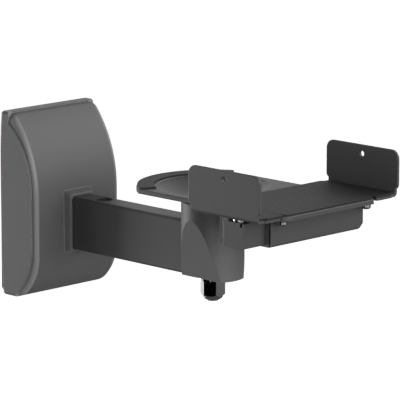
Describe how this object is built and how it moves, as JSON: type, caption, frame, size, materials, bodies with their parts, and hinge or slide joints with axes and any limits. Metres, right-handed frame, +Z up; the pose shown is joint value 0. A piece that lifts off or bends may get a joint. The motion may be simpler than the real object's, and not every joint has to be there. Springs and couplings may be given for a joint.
{
  "type": "speaker wall bracket",
  "caption": "Wall arm with a moulded wall cover, a swivelling turntable plate and two sliding side clamps that grip a bookshelf speaker.",
  "frame": {"origin": "centre of the wall plate's back face, which is the centre of its four screw holes", "axes": "+X out of the wall along the arm, +Y along the wall, +Z up"},
  "size_m": [0.3698, 0.1772, 0.1748],
  "materials": {
    "powder_coat": "satin fine-textured dark grey powder coat on steel",
    "cast_coat": "satin dark grey paint on a casting",
    "cover_plastic": "fine-grained moulded dark grey plastic",
    "pad_sheet": "matte closed-cell foam sheet",
    "guide_nylon": "smooth black nylon",
    "bright_zinc": "bright zinc plating",
    "bright_chrome": "bright plated steel"
  },
  "bodies": {
    "root": {"wall_plate": "powder_coat", "arm_tube": "powder_coat", "knuckle": "cast_coat"},
    "cover": {"wall_cover": "cover_plastic"},
    "turntable": {"turntable_plate": "powder_coat", "rear_pad": "pad_sheet", "front_pad": "pad_sheet", "friction_washer": "guide_nylon", "head_washer": "bright_zinc", "pivot_bolt": "bright_zinc", "nut_washer": "bright_chrome", "lock_nut": "bright_chrome", "locking_ring": "guide_nylon", "slide_housing": "powder_coat", "near_guide": "guide_nylon", "far_guide": "guide_nylon", "housing_screws": "bright_zinc"},
    "near_clamp": {"near_bracket": "powder_coat", "near_leg_pad": "pad_sheet", "near_bar": "powder_coat", "near_spacer": "bright_zinc", "near_rivet": "bright_zinc"},
    "far_clamp": {"far_bracket": "powder_coat", "far_leg_pad": "pad_sheet", "far_bar": "powder_coat", "far_spacer": "bright_zinc", "far_rivet": "bright_zinc"}
  },
  "joints": [
    {"name": "turntable_swivel", "type": "hinge", "parent": "root", "child": "turntable", "pos_m": [0.2245, 0, 0], "axis": [0, 0, 1], "range_deg": [-90, 90]},
    {"name": "near_clamp_slide", "type": "slide", "parent": "turntable", "child": "near_clamp", "axis": [0, -1, 0], "range_m": [0, 0.045]},
    {"name": "far_clamp_slide", "type": "slide", "parent": "turntable", "child": "far_clamp", "axis": [0, 1, 0], "range_m": [0, 0.045]},
    {"name": "cover_slide", "type": "slide", "parent": "root", "child": "cover", "axis": [1, 0, 0], "range_m": [0, 0.08]}
  ]
}
